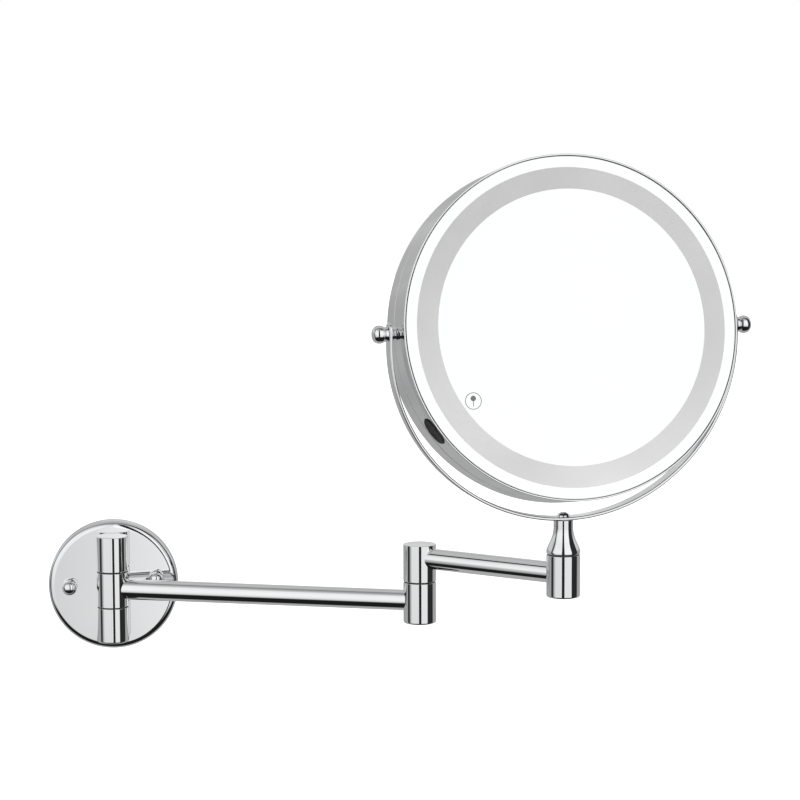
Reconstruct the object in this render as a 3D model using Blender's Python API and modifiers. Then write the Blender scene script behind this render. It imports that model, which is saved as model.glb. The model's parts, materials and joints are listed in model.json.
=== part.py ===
"""Wall-mounted extendable shaving mirror on a double-swing arm.

Frame: the origin is the centre of the wall face, the wall is the plane Y = 0, the mirror stands
out towards -Y, +X is right and +Z is up.  Everything below is in millimetres and is turned into
metres where an object is made.
"""

import math

import bmesh
import bpy
from mathutils import Matrix, Vector

MM = 0.001

# Driving dimensions, in millimetres and degrees.
GAP = 0.3

PLATE_RADIUS = 41.5
PLATE_DEPTH = 12.5
PLATE_WALL = 1.2
PLATE_SHOULDER = 4.2
BRACKET_RADIUS = 36.0
BRACKET_THICK = 2.0
STUD_OFFSET = 27.8
STUD_TURN = 5.0
STUD_HEIGHT = 2.3

BARREL_RADIUS = 10.25
WALL_AXIS_Y = -23.1
WALL_BARREL_HALF = 34.2
MIDDLE_HALF = 11.0
SEAM = 0.7

TUBE_RADIUS = 6.5
TUBE_BORE = 5.3
REAR_ARM_LENGTH = 201.0
REAR_ARM_ANGLE = -15.2
FRONT_ARM_LENGTH = 103.6
FRONT_ARM_ANGLE = -36.1
FRONT_ARM_HEIGHT = 27.2

ELBOW_BOTTOM = -13.9
ELBOW_SEAM = 12.3
ELBOW_TOP = 35.9
END_BOTTOM = 13.1
END_SEAM = 39.4

YOKE_INNER = 107.0
YOKE_THICK = 2.0
YOKE_DROP = 6.5
YOKE_TIP = 7.0
YOKE_HALF_DEPTH = 5.0
PIVOT_HEIGHT = 175.8
HEAD_TURN = 11.5
HEAD_TILT = 9.9

HEAD_RADIUS = 103.5
HEAD_INNER = 100.9
HEAD_FRONT = 18.0
HEAD_BACK = -24.0
HEAD_SEAM = -6.5
GLASS_RADIUS = 102.1
GLASS_FACE = 17.6
GLASS_THICK = 3.2
BAND_INNER = 82.6
BAND_OUTER = 95.5
MAGNIFIER_CURVE = 800.0
TOUCH_X = -63.3
TOUCH_Y = -41.9
PLUG_ANGLE = 214.5
PLUG_RADIUS = 8.9
PLUG_LEVEL = 7.2
PLUG_PROUD = 0.9

YOKE_RADIUS = YOKE_INNER + YOKE_THICK / 2
YOKE_BOTTOM = PIVOT_HEIGHT - YOKE_DROP - YOKE_INNER - YOKE_THICK

CHROME = ("chrome", (0.80, 0.80, 0.81), 1.0, 0.06)
STEEL = ("zinc_steel", (0.55, 0.56, 0.58), 1.0, 0.35)
BRASS = ("brass", (0.78, 0.62, 0.33), 1.0, 0.30)
NYLON = ("grey_nylon", (0.20, 0.20, 0.21), 0.0, 0.45)
MIRROR = ("silvered_glass", (0.92, 0.93, 0.93), 1.0, 0.02)
ACRYLIC = ("opal_acrylic", (0.88, 0.89, 0.90), 0.0, 0.40)
BOARD = ("white_board", (0.82, 0.84, 0.82), 0.0, 0.50)
CIRCUIT = ("green_board", (0.05, 0.22, 0.10), 0.0, 0.45)
TRAY = ("white_plastic", (0.80, 0.80, 0.79), 0.0, 0.50)
CELL = ("cell_wrap", (0.30, 0.45, 0.62), 0.0, 0.40)
COPPER = ("copper_pad", (0.75, 0.42, 0.26), 1.0, 0.35)
RUBBER = ("black_rubber", (0.02, 0.02, 0.02), 0.0, 0.60)
LEAD = ("lead_jacket", (0.45, 0.05, 0.04), 0.0, 0.50)


def clear_scene():
    for item in list(bpy.data.objects):
        bpy.data.objects.remove(item, do_unlink=True)


def new_collection(name):
    group = bpy.data.collections.new(name)
    bpy.context.scene.collection.children.link(group)
    return group


clear_scene()
MODEL = new_collection("extendable_shaving_mirror")
CUTTERS = new_collection("cutters")


def material(spec):
    name, colour, metallic, roughness = spec
    found = bpy.data.materials.get(name)
    if found:
        return found
    made = bpy.data.materials.new(name)
    made.use_nodes = True
    shader = made.node_tree.nodes["Principled BSDF"]
    shader.inputs["Base Color"].default_value = (*colour, 1.0)
    shader.inputs["Metallic"].default_value = metallic
    shader.inputs["Roughness"].default_value = roughness
    made.diffuse_color = (*colour, 1.0)
    return made


def empty(name, parent=None, place=(0, 0, 0), turn=(0, 0, 0)):
    item = bpy.data.objects.new(name, None)
    item.empty_display_size = 0.02
    MODEL.objects.link(item)
    put(item, parent, place, turn)
    return item


def put(item, parent, place, turn):
    item.parent = parent
    item.location = Vector(place) * MM
    item.rotation_euler = [math.radians(angle) for angle in turn]


def piece(name, mesh, look, parent, place=(0, 0, 0), turn=(0, 0, 0)):
    item = bpy.data.objects.new(name, mesh)
    if look is None:
        CUTTERS.objects.link(item)
        item.hide_render = True
        item.display_type = "WIRE"
    else:
        mesh.materials.append(material(look))
        MODEL.objects.link(item)
    put(item, parent, place, turn)
    return item


def turned(name, outline, look, parent, place=(0, 0, 0), turn=(0, 0, 0), steps=24, ring=False):
    """A turned piece: the outline is (radius, height) pairs running down its outer side."""
    mesh = bpy.data.meshes.new(name)
    points = [(radius * MM, 0.0, height * MM) for radius, height in outline]
    edges = [(i, i + 1) for i in range(len(points) - 1)]
    if ring:
        edges.append((len(points) - 1, 0))
    mesh.from_pydata(points, edges, [])
    item = piece(name, mesh, look, parent, place, turn)
    screw = item.modifiers.new("turn", "SCREW")
    screw.axis = "Z"
    screw.angle = math.tau
    screw.steps = steps
    screw.render_steps = steps
    screw.use_merge_vertices = True
    screw.merge_threshold = 0.000001
    screw.use_smooth_shade = False
    return item


def rod(name, radius, low, high, look, parent, place=(0, 0, 0), turn=(0, 0, 0), steps=24):
    outline = [(0, high), (radius, high), (radius, low), (0, low)]
    return turned(name, outline, look, parent, place, turn, steps)


def tube(name, outer, inner, low, high, look, parent, place=(0, 0, 0), turn=(0, 0, 0), steps=24):
    outline = [(inner, high), (outer, high), (outer, low), (inner, low)]
    return turned(name, outline, look, parent, place, turn, steps, ring=True)


def block(name, size, look, parent, place=(0, 0, 0), turn=(0, 0, 0)):
    mesh = bpy.data.meshes.new(name)
    shape = bmesh.new()
    bmesh.ops.create_cube(shape, size=1.0, matrix=Matrix.Diagonal((*(Vector(size) * MM), 1.0)))
    shape.to_mesh(mesh)
    shape.free()
    return piece(name, mesh, look, parent, place, turn)


def combine(item, other, operation):
    step = item.modifiers.new(operation.lower(), "BOOLEAN")
    step.operation = operation
    step.solver = "EXACT"
    step.object = other


def cut(item, cutter):
    combine(item, cutter, "DIFFERENCE")


def add(item, extra):
    combine(item, extra, "UNION")


def arc(centre_r, centre_z, radius, start, end, steps):
    """Points on a circle arc in the turning plane, from one angle to another in degrees."""
    points = []
    for i in range(steps + 1):
        angle = math.radians(start + (end - start) * i / steps)
        points.append((centre_r + radius * math.cos(angle), centre_z + radius * math.sin(angle)))
    return points


def wire(name, points, radius, look, parent):
    """A short lead along the given points, as a closed tube."""
    curve = bpy.data.curves.new(name, "CURVE")
    curve.dimensions = "3D"
    curve.bevel_depth = radius * MM
    curve.bevel_resolution = 1
    curve.use_fill_caps = True
    line = curve.splines.new("POLY")
    line.points.add(len(points) - 1)
    for point, place in zip(line.points, points):
        point.co = (*(Vector(place) * MM), 1.0)
    item = bpy.data.objects.new(name, curve)
    curve.materials.append(material(look))
    MODEL.objects.link(item)
    put(item, parent, (0, 0, 0), (0, 0, 0))
    return item


# ---------------------------------------------------------------- bodies
REAR_ANGLE = math.radians(REAR_ARM_ANGLE)
FRONT_ANGLE = math.radians(FRONT_ARM_ANGLE)
ELBOW_X = REAR_ARM_LENGTH * math.cos(REAR_ANGLE)
ELBOW_Y = WALL_AXIS_Y + REAR_ARM_LENGTH * math.sin(REAR_ANGLE)
NECK_X = ELBOW_X + FRONT_ARM_LENGTH * math.cos(FRONT_ANGLE)
NECK_Y = ELBOW_Y + FRONT_ARM_LENGTH * math.sin(FRONT_ANGLE)

BASE = empty("base_frame", None, (0, 0, 0), (90, 0, 0))
WALL_AXIS = empty("wall_axis", None, (0, WALL_AXIS_Y, 0))
REAR = empty("rear_arm_frame", None, (0, WALL_AXIS_Y, 0), (0, 0, REAR_ARM_ANGLE))
FRONT = empty("front_arm_frame", None, (ELBOW_X, ELBOW_Y, 0), (0, 0, FRONT_ARM_ANGLE))
YOKE = empty("yoke_frame", None, (NECK_X, NECK_Y, 0), (0, 0, HEAD_TURN))
HEAD = empty("head_frame", YOKE, (0, 0, PIVOT_HEIGHT), (-HEAD_TILT, 0, 0))
DIAL = empty("dial_frame", HEAD, (0, 0, 0), (90, 0, 0))


# ---------------------------------------------------------------- wall base
def stud_place(side):
    angle = math.radians(STUD_TURN)
    return (side * STUD_OFFSET * math.cos(angle), STUD_HEIGHT + side * STUD_OFFSET * math.sin(angle), 0)


def wall_bracket():
    item = rod("wall_bracket", BRACKET_RADIUS, 0, BRACKET_THICK, STEEL, BASE, steps=48)
    for side in (-1, 1):
        cut(item, rod(f"bracket_stud_hole_{side}", 2.3, -1, 4, None, BASE, stud_place(side), steps=12))
        cut(item, rod(f"bracket_wall_hole_{side}", 2.5, -1, 4, None, BASE, (12 * side, 20 * side, 0), steps=12))


def wall_plate():
    inner_arc = PLATE_SHOULDER - PLATE_WALL
    outline = [(0, PLATE_DEPTH)]
    outline += arc(PLATE_RADIUS - PLATE_SHOULDER, PLATE_DEPTH - PLATE_SHOULDER, PLATE_SHOULDER, 90, 0, 5)
    outline += [(PLATE_RADIUS, 0), (PLATE_RADIUS - PLATE_WALL, 0)]
    outline += arc(PLATE_RADIUS - PLATE_SHOULDER, PLATE_DEPTH - PLATE_SHOULDER, inner_arc, 0, 90, 2)
    outline += [(0, PLATE_DEPTH - PLATE_WALL)]
    item = turned("wall_plate", outline, CHROME, BASE, steps=56)
    for side in (-1, 1):
        cut(item, rod(f"plate_stud_hole_{side}", 2.3, 8, 16, None, BASE, stud_place(side), steps=12))
        cut(item, rod(f"plate_knuckle_hole_{side}", 2.3, 8, 16, None, BASE, (0, 23 * side, 0), steps=12))


def studs_and_nuts():
    face = PLATE_DEPTH + GAP
    for side, word in ((-1, "left"), (1, "right")):
        rod(f"bracket_stud_{word}", 2.0, GAP, 18.0, STEEL, BASE, stud_place(side), steps=12)
        ball = arc(0, face + 5.0, 4.75, 90, -55, 7)
        outline = [(0, face + 9.75)] + ball[1:]
        outline += [(3.6, face + 0.9), (3.6, face), (2.3, face), (2.3, 18.5), (0, 18.5)]
        turned(f"ball_nut_{word}", outline, CHROME, BASE, stud_place(side), steps=16)


def knuckle_outline(low, high, edge_low, edge_high, bore):
    """Outer side of a barrel segment with small rounded edges and a straight bore."""
    r = BARREL_RADIUS
    return [(bore, high), (r - edge_high, high), (r, high - edge_high),
            (r, low + edge_low), (r - edge_low, low), (bore, low)]


def fixed_knuckles():
    low = MIDDLE_HALF + SEAM
    high = WALL_BARREL_HALF
    seat = PLATE_DEPTH + GAP + WALL_AXIS_Y
    top = knuckle_outline(low, high, 0.2, 0.6, 0)
    upper = turned("upper_knuckle", top, CHROME, WALL_AXIS, steps=32)
    bottom = [(0, -low), (BARREL_RADIUS - 0.2, -low), (BARREL_RADIUS, -low - 0.2),
              (BARREL_RADIUS, -high + 1.2), (BARREL_RADIUS - 0.35, -high + 0.35), (BARREL_RADIUS - 1.2, -high),
              (5.4, -high), (5.4, -29.4), (0, -29.4)]
    lower = turned("lower_knuckle", bottom, CHROME, WALL_AXIS, steps=32)
    for item, side, reach in ((upper, 1, 28.0), (lower, -1, 36.0)):
        middle = side * (low + high - 0.6) / 2
        pad = block(f"knuckle_pad_{side}", (9.0, 2.6, high - low - 2.0), None, WALL_AXIS,
                    (0, -seat - 1.3, middle))
        add(item, pad)
        ends = sorted((side * 5.0, side * reach))
        cut(item, rod(f"knuckle_bore_{side}", 3.3, ends[0], ends[1], None, WALL_AXIS, steps=16))
        cut(item, rod(f"knuckle_tapping_{side}", 2.3, 10.0, 18.5, None, BASE, (0, 23 * side, 0), (0, 0, 7), 12))


def screw(name, head_radius, head_height, shank_radius, shank_length, look, parent, place, turn=(0, 0, 0),
          dome=False, steps=14):
    """A screw standing on its local Z: the head's underside is at zero and the shank points down."""
    if dome:
        sphere = (head_radius ** 2 + head_height ** 2) / (2 * head_height)
        half = math.degrees(math.asin(head_radius / sphere))
        outline = [(0, head_height)] + arc(0, head_height - sphere, sphere, 90, 90 - half, 4)[1:]
    else:
        outline = [(0, head_height), (head_radius - 0.4, head_height), (head_radius, head_height - 0.4)]
        outline += [(head_radius, 0)]
    outline += [(shank_radius, 0), (shank_radius, -shank_length), (0, -shank_length)]
    return turned(name, outline, look, parent, place, turn, steps)


def knuckle_screws():
    for side, word in ((1, "upper"), (-1, "lower")):
        level = PLATE_DEPTH - PLATE_WALL - GAP
        item = screw(f"knuckle_screw_{word}", 3.8, 2.4, 2.0, 6.6, STEEL, BASE, (0, 23 * side, level),
                     (180, 0, 0))
        cut(item, block(f"knuckle_screw_slot_{side}", (1.0, 9.0, 1.6), None, BASE, (0, 23 * side, level - 2.4)))


def wall_hinge():
    outline = [(0, 27.5), (3.0, 27.5), (3.0, -29.7), (4.9, -29.7), (4.9, -33.6), (2.5, -33.6), (2.5, -31.6), (0, -31.6)]
    turned("wall_hinge_pin", outline, STEEL, WALL_AXIS, steps=16)
    for side, word in ((1, "upper"), (-1, "lower")):
        ends = sorted((side * (MIDDLE_HALF + 0.15), side * (MIDDLE_HALF + SEAM - 0.15)))
        tube(f"wall_washer_{word}", 9.7, 3.3, ends[0], ends[1], NYLON, WALL_AXIS, steps=24)


# ---------------------------------------------------------------- rear arm
def arm_tube(name, length, height, parent):
    """A tube whose two ends are cut to sit against the round barrels."""
    item = tube(name, TUBE_RADIUS, TUBE_BORE, 5.0, length - 5.0, CHROME, parent, (0, 0, height), (0, 90, 0), 24)
    for place in (0, length):
        cut(item, rod(f"{name}_saddle_{place:.0f}", BARREL_RADIUS + GAP, -12, 12, None, parent,
                      (place, 0, height), steps=32))


def rear_arm():
    ring = knuckle_outline(-MIDDLE_HALF, MIDDLE_HALF, 0.2, 0.2, 3.3)
    turned("middle_knuckle", ring, CHROME, REAR, steps=32, ring=True)
    arm_tube("rear_arm_tube", REAR_ARM_LENGTH, 0, REAR)
    r = BARREL_RADIUS
    top = ELBOW_SEAM - SEAM / 2
    outline = [(2.8, top), (r - 0.2, top), (r, top - 0.2), (r, ELBOW_BOTTOM + 1.2), (r - 0.35, ELBOW_BOTTOM + 0.35),
               (r - 1.2, ELBOW_BOTTOM), (5.4, ELBOW_BOTTOM), (5.4, -7.0), (2.8, -7.0)]
    turned("elbow_lower_barrel", outline, CHROME, REAR, (REAR_ARM_LENGTH, 0, 0), steps=32, ring=True)
    tube("elbow_washer", 9.7, 2.8, ELBOW_SEAM - 0.2, ELBOW_SEAM + 0.2, NYLON, REAR,
         (REAR_ARM_LENGTH, 0, 0), steps=24)
    tube("elbow_spring_washer", 4.8, 2.8, -7.8, -7.2, STEEL, REAR, (REAR_ARM_LENGTH, 0, 0), steps=16)


# ---------------------------------------------------------------- front arm
def bolt(name, head_top, tip, parent, place):
    """A socket-head bolt pointing up, its head below."""
    low = head_top - 4.0
    outline = [(0, tip), (2.5, tip), (2.5, head_top), (4.6, head_top), (4.6, low), (2.2, low), (2.2, low + 2), (0, low + 2)]
    turned(name, outline, STEEL, parent, place, steps=14)


def front_arm():
    r = BARREL_RADIUS
    low = ELBOW_SEAM + SEAM / 2
    outline = [(0, ELBOW_TOP), (r - 0.5, ELBOW_TOP), (r, ELBOW_TOP - 0.5), (r, low + 0.2), (r - 0.2, low),
               (2.8, low), (2.8, 26.5), (0, 26.5)]
    turned("elbow_upper_barrel", outline, CHROME, FRONT, steps=32)
    bolt("elbow_bolt", -8.0, 25.5, FRONT, (0, 0, 0))
    arm_tube("front_arm_tube", FRONT_ARM_LENGTH, FRONT_ARM_HEIGHT, FRONT)
    top = END_SEAM - SEAM / 2
    outline = [(2.8, top), (r - 0.2, top), (r, top - 0.2), (r, END_BOTTOM + 1.2), (r - 0.35, END_BOTTOM + 0.35),
               (r - 1.2, END_BOTTOM), (5.4, END_BOTTOM), (5.4, 20.0), (2.8, 20.0)]
    place = (FRONT_ARM_LENGTH, 0, 0)
    turned("end_barrel", outline, CHROME, FRONT, place, steps=32, ring=True)
    tube("neck_washer", 9.7, 2.8, END_SEAM - 0.2, END_SEAM + 0.2, NYLON, FRONT, place, steps=24)
    tube("neck_spring_washer", 4.8, 2.8, 19.2, 19.8, STEEL, FRONT, place, steps=16)


# ---------------------------------------------------------------- yoke
def neck_post():
    """A bell-shaped post: straight at the top, flared and rounded over at its foot."""
    foot = END_SEAM + SEAM / 2
    top = YOKE_BOTTOM - GAP
    flare = [(2.3, top), (5.7, top), (6.0, top - 0.3), (6.0, foot + 15.4), (6.25, foot + 12.8), (6.9, foot + 10.4),
             (7.7, foot + 8.2), (8.7, foot + 6.0), (9.5, foot + 4.2), (10.1, foot + 2.6), (10.35, foot + 1.2),
             (10.25, foot + 0.3), (9.9, foot), (2.3, foot)]
    item = turned("neck_post", [(0, top)] + flare[1:-1] + [(0, foot)], CHROME, YOKE, steps=26)
    cut(item, rod("neck_bolt_bore", 2.8, foot - 2, 52.5, None, YOKE, steps=14))
    cut(item, rod("neck_screw_bore", 2.3, 54.3, top + 2, None, YOKE, steps=12))
    bolt("neck_bolt", 19.0, 51.5, YOKE, (0, 0, 0))


def yoke_rows():
    """Rows of the half ring from tip to tip: place in the ring's plane and half depth there."""
    rows = []
    rise = YOKE_DROP + YOKE_TIP - YOKE_HALF_DEPTH
    for i in range(5):
        angle = math.radians(18 + 72 * (4 - i) / 4)
        up = rise + YOKE_HALF_DEPTH * math.sin(angle)
        rows.append((-YOKE_RADIUS, up, max(0.9, YOKE_HALF_DEPTH * math.cos(angle))))
    rows.append((-YOKE_RADIUS, rise, YOKE_HALF_DEPTH))
    steps = 36
    for i in range(steps + 1):
        angle = math.pi + math.pi * i / steps
        rows.append((YOKE_RADIUS * math.cos(angle), YOKE_RADIUS * math.sin(angle), YOKE_HALF_DEPTH))
    rows += [(-x, z, half) for x, z, half in reversed(rows[:6])]
    return rows


def yoke_band():
    """The U-shaped strip: an open sheet along the half ring, thickened to both sides."""
    mesh = bpy.data.meshes.new("yoke_band")
    shape = bmesh.new()
    before = None
    for x, z, half in yoke_rows():
        row = [shape.verts.new(Vector((x, depth, z)) * MM) for depth in (-half, half)]
        if before:
            shape.faces.new((before[0], row[0], row[1], before[1]))
        before = row
    shape.to_mesh(mesh)
    shape.free()
    item = piece("yoke_band", mesh, CHROME, YOKE, (0, 0, PIVOT_HEIGHT - YOKE_DROP))
    shell = item.modifiers.new("thickness", "SOLIDIFY")
    shell.thickness = YOKE_THICK * MM
    shell.offset = 0.0
    cut(item, rod("yoke_pivot_bores", 2.3, -120, 120, None, YOKE, (0, 0, PIVOT_HEIGHT), (0, 90, 0), steps=16))
    cut(item, rod("yoke_foot_bore", 2.3, YOKE_BOTTOM - 3, YOKE_BOTTOM + 6, None, YOKE, steps=12))
    screw("yoke_screw", 4.05, 2.8, 2.0, 7.4, CHROME, YOKE, (0, 0, YOKE_BOTTOM + YOKE_THICK + GAP), dome=True,
          steps=20)


# ---------------------------------------------------------------- mirror head
def head_body():
    """The drum's front part: bezel lip, glass ledge, side wall and the spigot for the rear part."""
    r = HEAD_RADIUS
    ledge = GLASS_FACE - GLASS_THICK - GAP
    seam = HEAD_SEAM + 0.2
    outline = [(r - 1.1, HEAD_FRONT), (r - 0.4, HEAD_FRONT), (r, HEAD_FRONT - 0.4), (r, seam), (r - 1.5, seam),
               (r - 1.5, seam - 4.0), (HEAD_INNER, seam - 4.0), (HEAD_INNER, ledge - 1.5), (99.4, ledge - 1.5),
               (99.4, ledge), (r - 1.1, ledge)]
    item = turned("head_body", outline, CHROME, DIAL, steps=60, ring=True)
    cut(item, rod("plug_hole", PLUG_RADIUS + 0.4, 96, 108, None, DIAL, (0, 0, PLUG_LEVEL), (0, 90, PLUG_ANGLE)))
    for side in (-1, 1):
        cut(item, rod(f"pivot_hole_{side}", 2.3, 97, 107, None, DIAL, (0, 0, 0), (0, 90 * side, 0), 14))


def rear_bezel():
    r = HEAD_RADIUS
    outline = [(r - 1.2, HEAD_SEAM - 0.2), (r, HEAD_SEAM - 0.2), (r, HEAD_BACK + 0.8), (r - 0.25, HEAD_BACK + 0.25),
               (r - 0.8, HEAD_BACK), (99.8, HEAD_BACK), (99.8, HEAD_BACK + 1.1), (r - 1.2, HEAD_BACK + 1.1)]
    turned("rear_bezel", outline, CHROME, DIAL, steps=60, ring=True)


def magnifier_face(rim_level, steps):
    """Heights of a shallow bowl that opens to the back, from the rim to the centre."""
    rim = 101.9
    drop = MAGNIFIER_CURVE - math.sqrt(MAGNIFIER_CURVE ** 2 - rim ** 2)
    points = []
    for i in range(steps + 1):
        radius = rim * (1 - i / steps)
        rise = drop - (MAGNIFIER_CURVE - math.sqrt(MAGNIFIER_CURVE ** 2 - radius ** 2))
        points.append((radius, rim_level + rise))
    return points


def mirrors():
    rod("front_mirror", GLASS_RADIUS, GLASS_FACE - GLASS_THICK, GLASS_FACE, MIRROR, DIAL, steps=60)
    back = HEAD_BACK + 1.4
    outline = list(reversed(magnifier_face(back + 2.5, 4))) + magnifier_face(back, 4)
    turned("rear_mirror", outline, MIRROR, DIAL, steps=48)


def lighting():
    top = GLASS_FACE - GLASS_THICK - GAP
    tube("light_diffuser", 97.5, 81.0, top - 2.5, top, ACRYLIC, DIAL, steps=48)
    board = tube("led_board", 94.5, 84.0, 6.5, 8.1, BOARD, DIAL, steps=48)
    mesh = bpy.data.meshes.new("led_chips")
    shape = bmesh.new()
    count = 24
    for i in range(count):
        turn = Matrix.Rotation(math.tau * (i + 0.5) / count, 4, "Z")
        place = Matrix.Translation(Vector((89.2, 0, 8.4)) * MM)
        size = Matrix.Diagonal((*(Vector((2.8, 3.5, 1.2)) * MM), 1.0))
        bmesh.ops.create_cube(shape, size=1.0, matrix=turn @ place @ size)
    shape.to_mesh(mesh)
    shape.free()
    add(board, piece("led_chips", mesh, None, DIAL))


def inner_tray():
    outline = [(0, 6.2), (98.0, 6.2), (98.0, 11.2), (100.5, 11.2), (100.5, 4.6), (0, 4.6)]
    item = turned("inner_tray", outline, TRAY, DIAL, steps=48)
    angle = math.radians(PLUG_ANGLE)
    cut(item, block("tray_notch", (8, 12, 8), None, DIAL,
                    (101 * math.cos(angle), 101 * math.sin(angle), 10.3), (0, 0, PLUG_ANGLE)))
    cut(item, rod("tray_lead_hole", 4.0, 2, 9, None, DIAL, (-58, -30, 0), steps=12))


def electronics():
    block("battery", (60, 40, 7.4), CELL, DIAL, (22, 0, 0.4))
    board = block("control_board", (30, 24, 1.6), CIRCUIT, DIAL, (-38, -30, 3.4))
    for i, (x, y, size) in enumerate(((-44, -33, (7, 7, 2)), (-33, -26, (5, 4, 2)), (-30, -37, (4, 4, 2)))):
        add(board, block(f"board_chip_{i}", size, None, DIAL, (x, y, 2.0)))
    rod("touch_sensor", 4.6, 12.9, 14.1, COPPER, DIAL, (TOUCH_X, TOUCH_Y, 0), steps=20)
    angle = math.radians(PLUG_ANGLE)
    port = block("charge_port", (5.0, 9.0, 3.4), STEEL, DIAL,
                 (98 * math.cos(angle), 98 * math.sin(angle), 8.3), (0, 0, PLUG_ANGLE))
    cut(port, block("port_mouth", (4.0, 7.6, 2.2), None, DIAL,
                    (99.6 * math.cos(angle), 99.6 * math.sin(angle), 8.3), (0, 0, PLUG_ANGLE)))


def leads():
    wire("light_lead", [(-53.6, -28, 3.4), (-57, -28.3, 3.6), (-58.4, -28.6, 5.2), (-58.8, -28.8, 7.2),
                        (-61, -30, 7.9), (-68, -33, 7.7), (-74.6, -36.0, 7.4)], 0.6, LEAD, DIAL)
    wire("touch_lead", [(-53.6, -32, 3.4), (-57, -31.8, 3.6), (-58.4, -32, 5.2), (-59, -33, 8.6), (-61.4, -38, 11.0),
                        (-63.3, -41.9, 12.5)], 0.6, LEAD, DIAL)
    wire("battery_lead", [(-22.6, -24, 3.4), (-18, -20, 3.0), (-13, -14, 2.0), (-8.5, -10, 1.6)], 0.8, LEAD, DIAL)


def pivots():
    for side, word in ((-1, "left"), (1, "right")):
        turn = (0, 90 * side, 0)
        knob = [(0, 118.6), (2.0, 118.4), (3.8, 117.7), (4.9, 116.5), (5.4, 115.0), (5.4, 113.4), (5.1, 112.2),
                (4.5, 111.4), (4.0, 111.2), (4.0, 110.9), (4.6, 110.7), (4.6, 109.4), (2.0, 109.4), (2.0, 93.5),
                (0, 93.5)]
        turned(f"pivot_knob_{word}", knob, CHROME, HEAD, (0, 0, 0), turn, 20)
        spacer = [(2.3, 106.7), (3.8, 106.7), (4.0, 106.5), (4.0, 105.7), (3.5, 105.4), (3.5, 105.1), (4.0, 104.8),
                  (4.0, 104.0), (3.8, 103.8), (2.3, 103.8)]
        turned(f"pivot_spacer_{word}", spacer, CHROME, HEAD, (0, 0, 0), turn, 20, ring=True)
        tube(f"pivot_boss_{word}", 4.2, 2.3, 92.6, HEAD_INNER - 0.5, BRASS, HEAD, (0, 0, 0), turn, 16)


def port_plug():
    face = HEAD_RADIUS + PLUG_PROUD
    outline = [(0, face), (PLUG_RADIUS - 0.6, face), (PLUG_RADIUS, face - 0.5), (PLUG_RADIUS, 102.5), (5.0, 102.5),
               (5.0, 101.2), (0, 101.2)]
    turned("port_plug", outline, RUBBER, DIAL, (0, 0, PLUG_LEVEL), (0, 90, PLUG_ANGLE), 24)


wall_bracket()
wall_plate()
studs_and_nuts()
fixed_knuckles()
knuckle_screws()
wall_hinge()
rear_arm()
front_arm()
neck_post()
yoke_band()
head_body()
rear_bezel()
mirrors()
lighting()
inner_tray()
electronics()
leads()
pivots()
port_plug()
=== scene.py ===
# %% [markdown]
# # An extendable shaving mirror
# The mirror hangs on a bathroom wall.  A round plate carries a three-part hinge, two tube arms fold at
# an elbow, and a half-ring yoke holds a round drum with a light band etched in its glass.
# The frame holds every part at its true size, so the frame is opened first and measured.

# %% Open the frame
import json
import math

import bpy
from mathutils import Matrix, Vector


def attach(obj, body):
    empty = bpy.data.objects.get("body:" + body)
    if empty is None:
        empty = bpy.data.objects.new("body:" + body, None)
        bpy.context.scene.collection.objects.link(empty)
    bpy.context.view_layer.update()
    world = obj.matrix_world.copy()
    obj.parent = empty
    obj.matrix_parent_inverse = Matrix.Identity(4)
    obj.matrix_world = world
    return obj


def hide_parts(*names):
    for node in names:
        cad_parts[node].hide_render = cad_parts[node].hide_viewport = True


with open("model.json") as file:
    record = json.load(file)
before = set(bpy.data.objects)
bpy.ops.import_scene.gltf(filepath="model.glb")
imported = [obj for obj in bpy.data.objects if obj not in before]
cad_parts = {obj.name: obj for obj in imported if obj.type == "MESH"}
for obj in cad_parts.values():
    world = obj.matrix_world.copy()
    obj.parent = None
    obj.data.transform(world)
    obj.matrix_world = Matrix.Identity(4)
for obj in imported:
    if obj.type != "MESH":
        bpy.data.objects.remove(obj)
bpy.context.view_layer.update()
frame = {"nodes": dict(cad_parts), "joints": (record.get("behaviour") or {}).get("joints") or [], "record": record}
nodes = frame["nodes"]

# %% [markdown]
# The joints say where the hinges are, and a few angles say how the arms and the head stand at rest.
# Each part is easiest to shape standing upright at the origin, in millimetres, so each place on the
# mirror gets a matrix that carries a finished part from the origin to where it belongs.

# %% Places on the mirror
MM = 0.001
REAR_ARM_ANGLE = -15.2
FRONT_ARM_ANGLE = -36.1
HEAD_TURN = 11.5
HEAD_TILT = 9.9
YOKE_DROP = 6.5

anchors = {joint["name"]: Vector(joint.get("pos_m", (0, 0, 0))) for joint in frame["joints"]}
wall_hinge = anchors["wall_swivel"]
elbow = Vector((*anchors["elbow_swivel"].xy, 0))
neck = Vector((*anchors["neck_swivel"].xy, 0))
pivot = anchors["head_tilt"]


def turn(angle, axis):
    return Matrix.Rotation(math.radians(angle), 4, axis)


def move(place):
    return Matrix.Translation(Vector(place))


AT_WALL = turn(90, "X")
AT_HINGE = move(wall_hinge)
AT_REAR = move(wall_hinge) @ turn(REAR_ARM_ANGLE, "Z")
AT_FRONT = move(elbow) @ turn(FRONT_ARM_ANGLE, "Z")
AT_NECK = move(neck) @ turn(HEAD_TURN, "Z")
AT_YOKE = move(pivot) @ turn(HEAD_TURN, "Z") @ move((0, 0, -YOKE_DROP * MM))
AT_HEAD = move(pivot) @ turn(HEAD_TURN, "Z") @ turn(-HEAD_TILT, "X")
AT_DIAL = AT_HEAD @ turn(90, "X")
REAR_REACH = (elbow - wall_hinge).length / MM
FRONT_REACH = (neck - elbow).length / MM
print("rear arm", round(REAR_REACH, 1), "mm, front arm", round(FRONT_REACH, 1), "mm")

# %% [markdown]
# ## Finishes
# Every finish starts from the same small kit: noise on object coordinates, so that the pattern sits still
# on the part, a ramp from that noise to a colour, and a map from it to roughness.  Small helpers keep the
# recipes short.


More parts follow.
